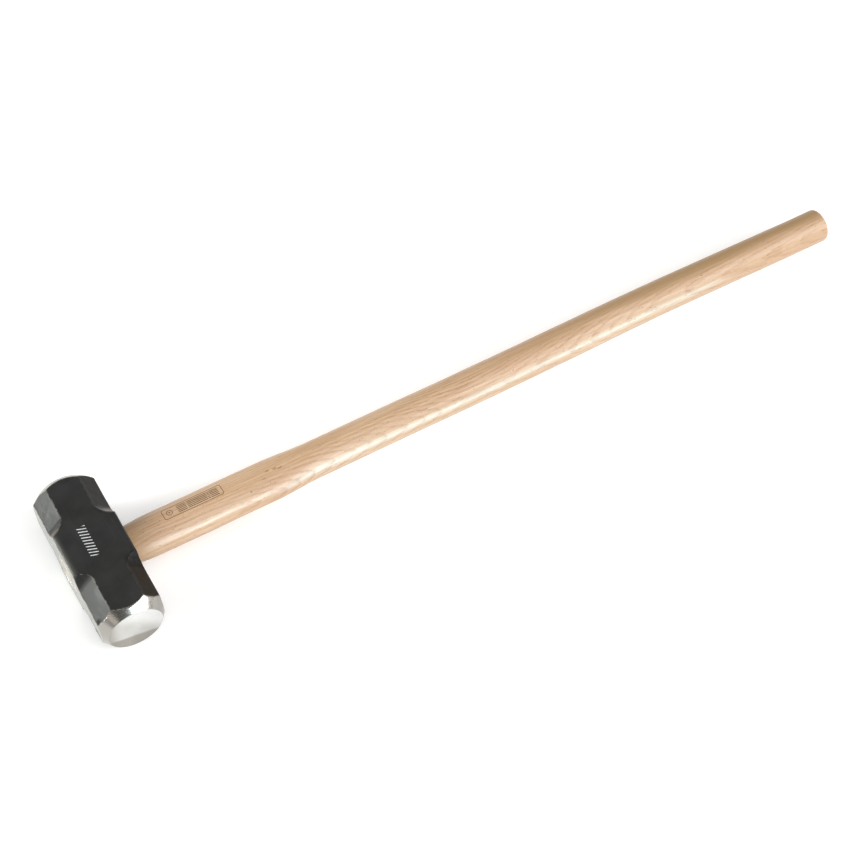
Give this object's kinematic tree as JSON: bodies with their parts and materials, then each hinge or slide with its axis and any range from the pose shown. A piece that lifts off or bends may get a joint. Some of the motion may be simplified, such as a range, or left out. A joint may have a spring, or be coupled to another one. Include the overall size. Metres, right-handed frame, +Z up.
{
  "type": "sledgehammer",
  "caption": "Long-handled sledgehammer: a double-faced square steel head with bevelled ends and ground faces, wedged onto a round hardwood handle with an oval neck.",
  "frame": {"origin": "centre of the cheek that the head rests on, at floor level", "axes": "+Z up out of the floor through the head's two cheeks, +X along the handle from the head towards the grip end, Y along the head from striking face to striking face"},
  "size_m": [0.902, 0.176, 0.066],
  "materials": {
    "head_steel": "dark charcoal coating, satin, with bare ground striking faces",
    "handle_wood": "pale straight-grained hardwood under clear gloss lacquer",
    "wedge_wood": "raw sawn end grain",
    "wedge_steel": "dull mild steel"
  },
  "bodies": {
    "root": {"head": "head_steel", "handle": "handle_wood", "wood_wedge": "wedge_wood", "steel_wedge_1": "wedge_steel", "steel_wedge_2": "wedge_steel"}
  },
  "joints": []
}
